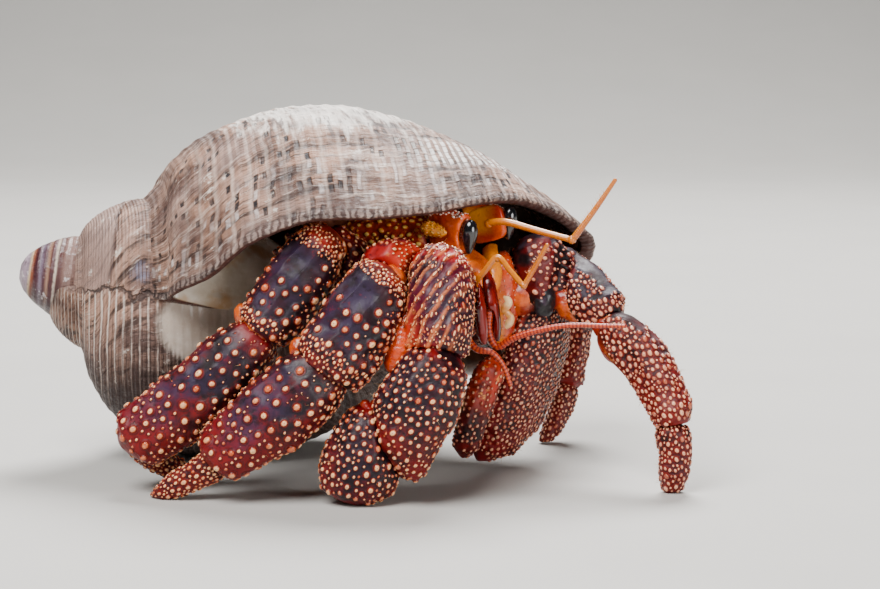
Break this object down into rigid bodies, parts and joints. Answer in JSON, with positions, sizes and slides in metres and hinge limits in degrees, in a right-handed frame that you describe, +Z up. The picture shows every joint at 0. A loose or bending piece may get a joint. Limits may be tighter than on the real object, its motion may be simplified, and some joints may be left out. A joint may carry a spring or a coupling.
{
  "type": "hermit crab",
  "caption": "Strawberry land hermit crab walking with its worn ridged rock-shell, a still life-size museum model with pearled purple-red legs and claws.",
  "frame": {"origin": "on the floor, under the middle of the whole animal's footprint", "axes": "+X along the shell from its apex towards the crab's head, +Y to the crab's far (left) side, +Z up from the floor"},
  "size_m": [0.0672, 0.0469, 0.0366],
  "materials": {
    "rock_shell": "worn matt chalky shell, ribbed, polished at the apex and the mouth",
    "purple_armour": "glossy dark purple-red shell armour with raised cream pearls",
    "red_armour": "glossy dark red shell armour with raised cream pearls",
    "orange_armour": "satin orange shell armour and joint skin",
    "yellow_armour": "satin amber shell armour, ringed",
    "cornea": "polished black, faceted",
    "soft_body": "soft wrinkled skin"
  },
  "bodies": {
    "root": {"back": "soft_body", "belly_front": "soft_body", "belly_rear": "soft_body", "chest": "purple_armour", "left_antenna": "orange_armour", "left_antenna_base": "orange_armour", "left_antenna_scale": "yellow_armour", "left_antennule": "yellow_armour", "left_antennule_whip": "yellow_armour", "left_claw_carpus": "purple_armour", "left_claw_finger": "purple_armour", "left_claw_merus": "purple_armour", "left_claw_palm": "purple_armour", "left_cornea": "cornea", "left_eyestalk": "orange_armour", "left_leg2_carpus": "purple_armour", "left_leg2_dactyl": "red_armour", "left_leg2_merus": "purple_armour", "left_leg2_propodus": "red_armour", "left_leg3_carpus": "purple_armour", "left_leg3_dactyl": "red_armour", "left_leg3_merus": "purple_armour", "left_leg3_propodus": "red_armour", "left_leg4": "red_armour", "left_leg5": "red_armour", "left_mouth_limb": "red_armour", "mouth": "orange_armour", "right_antenna": "orange_armour", "right_antenna_base": "orange_armour", "right_antenna_scale": "yellow_armour", "right_antennule": "yellow_armour", "right_antennule_whip": "yellow_armour", "right_claw_carpus": "purple_armour", "right_claw_finger": "purple_armour", "right_claw_merus": "purple_armour", "right_claw_palm": "purple_armour", "right_cornea": "cornea", "right_eyestalk": "orange_armour", "right_leg2_carpus": "purple_armour", "right_leg2_dactyl": "red_armour", "right_leg2_merus": "purple_armour", "right_leg2_propodus": "purple_armour", "right_leg3_carpus": "purple_armour", "right_leg3_dactyl": "red_armour", "right_leg3_merus": "purple_armour", "right_leg3_propodus": "purple_armour", "right_leg4": "red_armour", "right_leg5": "red_armour", "right_mouth_limb": "red_armour", "shell": "rock_shell", "shield": "purple_armour", "tail_fan": "soft_body"}
  },
  "joints": []
}
